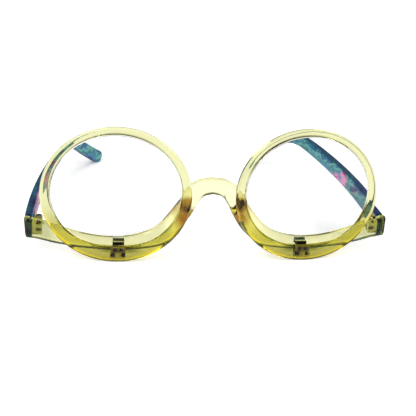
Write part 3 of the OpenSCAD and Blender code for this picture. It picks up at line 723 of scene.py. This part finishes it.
def makeTemple(name, side, material):
    rings = []
    t, h, bendH, tipH = temple["t"], temple["h"], temple["bendH"], temple["tipH"]
    armSteps, bendSteps, tipSteps = temple["armSteps"], temple["bendSteps"], temple["tipSteps"]
    for i in range(armSteps + 1):
        y = between(endBack - temple["start"], bendY, i / armSteps)
        g = max(0, (y - endBack) / (bendY - endBack))
        rings.append(templeRing(y, between(hingeZ, bendZ, g), rise, between(h, bendH, g), t, side))
    for i in range(1, bendSteps + 1):
        a = between(rise, -fall, i / bendSteps)
        rings.append(templeRing(bendY + temple["bendR"] * (math.sin(rise) - math.sin(a)),
                                bendZ - temple["bendR"] * (math.cos(rise) - math.cos(a)),
                                a, bendH, t, side))
    for i in range(1, tipSteps + 1):
        d = i / tipSteps * (tipLen - temple["tipRound"])
        rings.append(templeRing(bendY2 + d * math.cos(fall), bendZ2 - d * math.sin(fall), -fall,
                                between(bendH, tipH, i / tipSteps), t, side))
    for q in range(temple["endDegrees"], 90, temple["endDegrees"]):      # the rounded end of the tip
        d = tipLen - temple["tipRound"] + temple["tipRound"] * math.sin(math.radians(q))
        c = between(1, math.cos(math.radians(q)), temple["endNarrow"])
        rings.append(templeRing(bendY2 + d * math.cos(fall), bendZ2 - d * math.sin(fall), -fall,
                                tipH * c, t * c, side))
    piece = sweep(name, rings, material)
    play, leafT, far = hinge["play"], hinge["leafT"], hinge["far"]
    inner, tall = hingeX + hinge["inset"], hinge["h"] / 2 + hinge["edge"]
    carve(piece, [
        blockAt(standing, (inner - play - leafT, inner + leafT + play),
                (hingeY - hinge["web"] - play, hingeY + hinge["plate"] + play),
                (hingeZ - tall - play, hingeZ + tall + play), side),
        # all that would lie in the front's own room
        blockAt(rimPlane, (0, far), (-far, backV + hinge["clear"]), (-far, far), side),
        floorBlock(),
    ])
    smooth(piece)
    middles = [sum(ring, Vector()) / len(ring) for ring in rings]
    values, heights = [], []      # for the print: how far in and how high on the temple a point lies
    for vertex in piece.data.vertices:
        x, y = vertex.co.x * side * 1000, vertex.co.y * 1000 + midY
        values.append(0.5 + (templeX - inward(y) - x) / t)
        middle = min(middles, key=lambda m: abs(m.y - vertex.co.y))
        heights.append(max(-1, min(1, 1000 * (vertex.co.z - middle.z) / (h / 2))))
    piece.data.attributes.new("innerSide", "FLOAT", "POINT").data.foreach_set("value", values)
    piece.data.attributes.new("highSide", "FLOAT", "POINT").data.foreach_set("value", heights)
    return piece


templeFilm = templePlastic()
for word, side in sides.items():
    piece = makeTemple("mottled_temple_" + word, side, templeFilm)
    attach(piece, "temple_" + word)
    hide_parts("temple_" + word)
print("temples made")

# temple hinges of stamped brass with a thin gold plating: a warm sheen, pale where it is rubbed
brass = platedMetal("brass_stamped_plated", {
    "colour": "#A89B4E", "dark": "#5E5320", "bare": "#E4DCA4", "recessShade": "#120E08", "wear": 0.8,
    "grazing": "#FFFFFF", "poreMm": 0.35, "patchMm": 1.4, "rough": (0.22, 0.42),
})
# flip hinges of stamped and plated bronze: warmer, a little duller, and with near-black painted shade in
# recesses
flipBronze = platedMetal("bronze_stamped_plated", {
    "colour": "#B2A050", "dark": "#574C20", "bare": "#E8DC9C", "recessShade": "#060502", "wear": 0.9,
    "grazing": "#FFFFFF", "poreMm": 0.3, "patchMm": 1.2, "rough": (0.25, 0.45),
})
# the same bronze where it sits inside the half rim: a shaded copy, painted dark as the shade it lies in
# behind the tongue's holes
leafBronzeShaded = platedMetal("bronze_stamped_painted_shade", {
    "colour": "#17170C", "dark": "#0A0A05", "bare": "#3A3820", "recessShade": "#040402", "wear": 0.4,
    "grazing": "#1C1C14", "poreMm": 0.3, "patchMm": 1.2, "rough": (0.3, 0.5),
})
# small turned steel screws: grey, and a little sharper in their shine
steel = platedMetal("steel_turned_screw", {
    "colour": "#A39C8A", "dark": "#5E584B", "bare": "#D8D2C2", "recessShade": "#141210", "wear": 0.7,
    "grazing": "#FFFFFF", "poreMm": 0.25, "patchMm": 0.9, "rough": (0.2, 0.36),
})
metals = {"flip_leaf": leafBronzeShaded, "flip_tongue": flipBronze, "flip_screw": steel,
          "hinge_leaf": brass, "hinge_tongue": brass, "hinge_screw": steel}
for kind, material in metals.items():
    for word in sides:
        part = nodes[kind + "_" + word]
        part.data.materials.clear()
        part.data.materials.append(material)
        weld = part.modifiers.new("join", "WELD")
        weld.merge_threshold = metalLook["weldMm"] / 1000
        soft = part.modifiers.new("soften", "BEVEL")
        soft.width, soft.segments = metalLook["bevelMm"] / 1000, metalLook["bevelSteps"]
        soft.limit_method, soft.angle_limit = "ANGLE", math.radians(metalLook["bevelDegrees"])
        soft.harden_normals = True
print("metal finished")

# a white table in a studio: soft light above, dark walls, and warm brown on the camera's side;
# lengths in metres, but for the paper's grain, which is drawn coarser than real to show at all
room = {
    "floor": 1.6, "floorDown": 5e-5, "grainMm": 1.25, "tones": [(0.3, "#F3F3F3"), (0.7, "#F7F7F7")],
    "farFrom": 0.5, "farTo": 1.5, "floorGlow": 0.42, "farGlow": 0.95, "glowThrough": 0.24, "fill": 0.45,
    "shadeFront": "#5C3B12", "aboveAt": {"From Min": 0.45, "From Max": 0.65},
    "behindAt": {"From Min": 0.3, "From Max": -0.3},
    "wall": [(0.0, "#C4C6AC"), (0.08, "#AEB094"), (0.17, "#2C2E14"), (0.4, "#23261A"), (0.6, "#C8C8C0"),
             (0.85, "#F2F2EC")],
    "aim": (0, -0.03, 0.02),
    "lamps": {
        "key": ((-0.6, -0.9, 1.0), 0.6, 8.5), "side": ((0.9, -0.7, 0.9), 0.5, 5.0),
        "top": ((0.1, 0.1, 1.3), 0.9, 3.5), "spark": ((-0.35, -0.5, 0.9), 0.08, 0.5),
    },
}


def makeRoom():
    s, z = room["floor"], -room["floorDown"]
    floor = newPiece("table_top", [(-s, -s, z), (s, -s, z), (s, s, z), (-s, s, z)], [(0, 1, 2, 3)], None)
    material, tree, out, inMm = newMaterial("paper_white_matt")
    grain = addNode(tree, "TexNoise", {"Scale": 1 / room["grainMm"], "Detail": 2.0}, {"Vector": inMm})
    tone = addNode(tree, "ValToRGB", {"stops": room["tones"]}, {"Fac": grain})
    path = addNode(tree, "LightPath")
    away = addNode(tree, "VectorMath", {"operation": "LENGTH"},
                   {0: addNode(tree, "TexCoord").outputs["Object"]})
    far = addNode(tree, "MapRange", {
        "From Min": room["farFrom"], "From Max": room["farTo"],
        "To Min": room["floorGlow"], "To Max": room["farGlow"],
    }, {"Value": away.outputs["Value"]})
    # the table glows a little in reflections and through clear plastic, and more to the camera
    through = addNode(tree, "Math", {"operation": "MAXIMUM"},
                      {0: path.outputs["Is Glossy Ray"], 1: path.outputs["Is Transmission Ray"]})
    direct = addNode(tree, "Math", {"operation": "MULTIPLY"}, {0: path.outputs["Is Camera Ray"], 1: far})
    glow = addNode(tree, "Math", {"operation": "MULTIPLY_ADD", 1: room["glowThrough"]},
                   {0: through, 2: direct})
    matt = addNode(tree, "BsdfDiffuse", {}, {"Color": tone})
    light = addNode(tree, "Emission", {}, {"Strength": glow})
    both = addNode(tree, "AddShader", {}, {0: matt, 1: light})
    tree.links.new(both.outputs[0], out.inputs["Surface"])
    floor.data.materials.append(material)
    world = bpy.data.worlds.new("white_room")
    bpy.context.scene.world = world
    world.use_nodes = True
    tree = world.node_tree
    tree.nodes.clear()
    out = tree.nodes.new("ShaderNodeOutputWorld")
    way = addNode(tree, "SeparateXYZ", {}, {0: addNode(tree, "TexCoord").outputs["Generated"]})
    wall = addNode(tree, "ValToRGB", {"stops": room["wall"]}, {"Fac": way.outputs["Z"]})
    above = addNode(tree, "MapRange", room["aboveAt"], {"Value": way.outputs["Z"]})
    behind = addNode(tree, "MapRange", room["behindAt"], {"Value": way.outputs["Y"]})
    dusk = addNode(tree, "MixRGB", {"Color2": room["shadeFront"]}, {"Fac": behind, "Color1": wall})
    walls = addNode(tree, "MixRGB", {}, {"Fac": above, "Color1": dusk, "Color2": wall})
    # the camera sees white, reflections and clear plastic show the walls, and the rest gets even grey
    path = addNode(tree, "LightPath")
    seen = addNode(tree, "Math", {"operation": "MAXIMUM"},
                   {0: path.outputs["Is Glossy Ray"], 1: path.outputs["Is Transmission Ray"]})
    dim = addNode(tree, "MixRGB", {"Color1": [room["fill"]] * 3 + [1]}, {"Fac": seen, "Color2": walls})
    shown = addNode(tree, "MixRGB", {"Color2": "#FFFFFF"},
                    {"Fac": path.outputs["Is Camera Ray"], "Color1": dim})
    back = addNode(tree, "Background", {"Strength": 1.0}, {"Color": shown})
    tree.links.new(back.outputs[0], out.inputs["Surface"])
    for name, (at, size, power) in room["lamps"].items():
        data = bpy.data.lights.new(name, "AREA")
        data.shape, data.size, data.energy = "SQUARE", size, power
        lamp = bpy.data.objects.new(name, data)
        lamp.location = at
        toAim = Vector(room["aim"]) - Vector(at)
        lamp.rotation_euler = toAim.to_track_quat("-Z", "Y").to_euler()
        bpy.context.scene.collection.objects.link(lamp)
    bpy.context.scene.view_settings.view_transform = "Standard"


makeRoom()
print("room and lamps set")
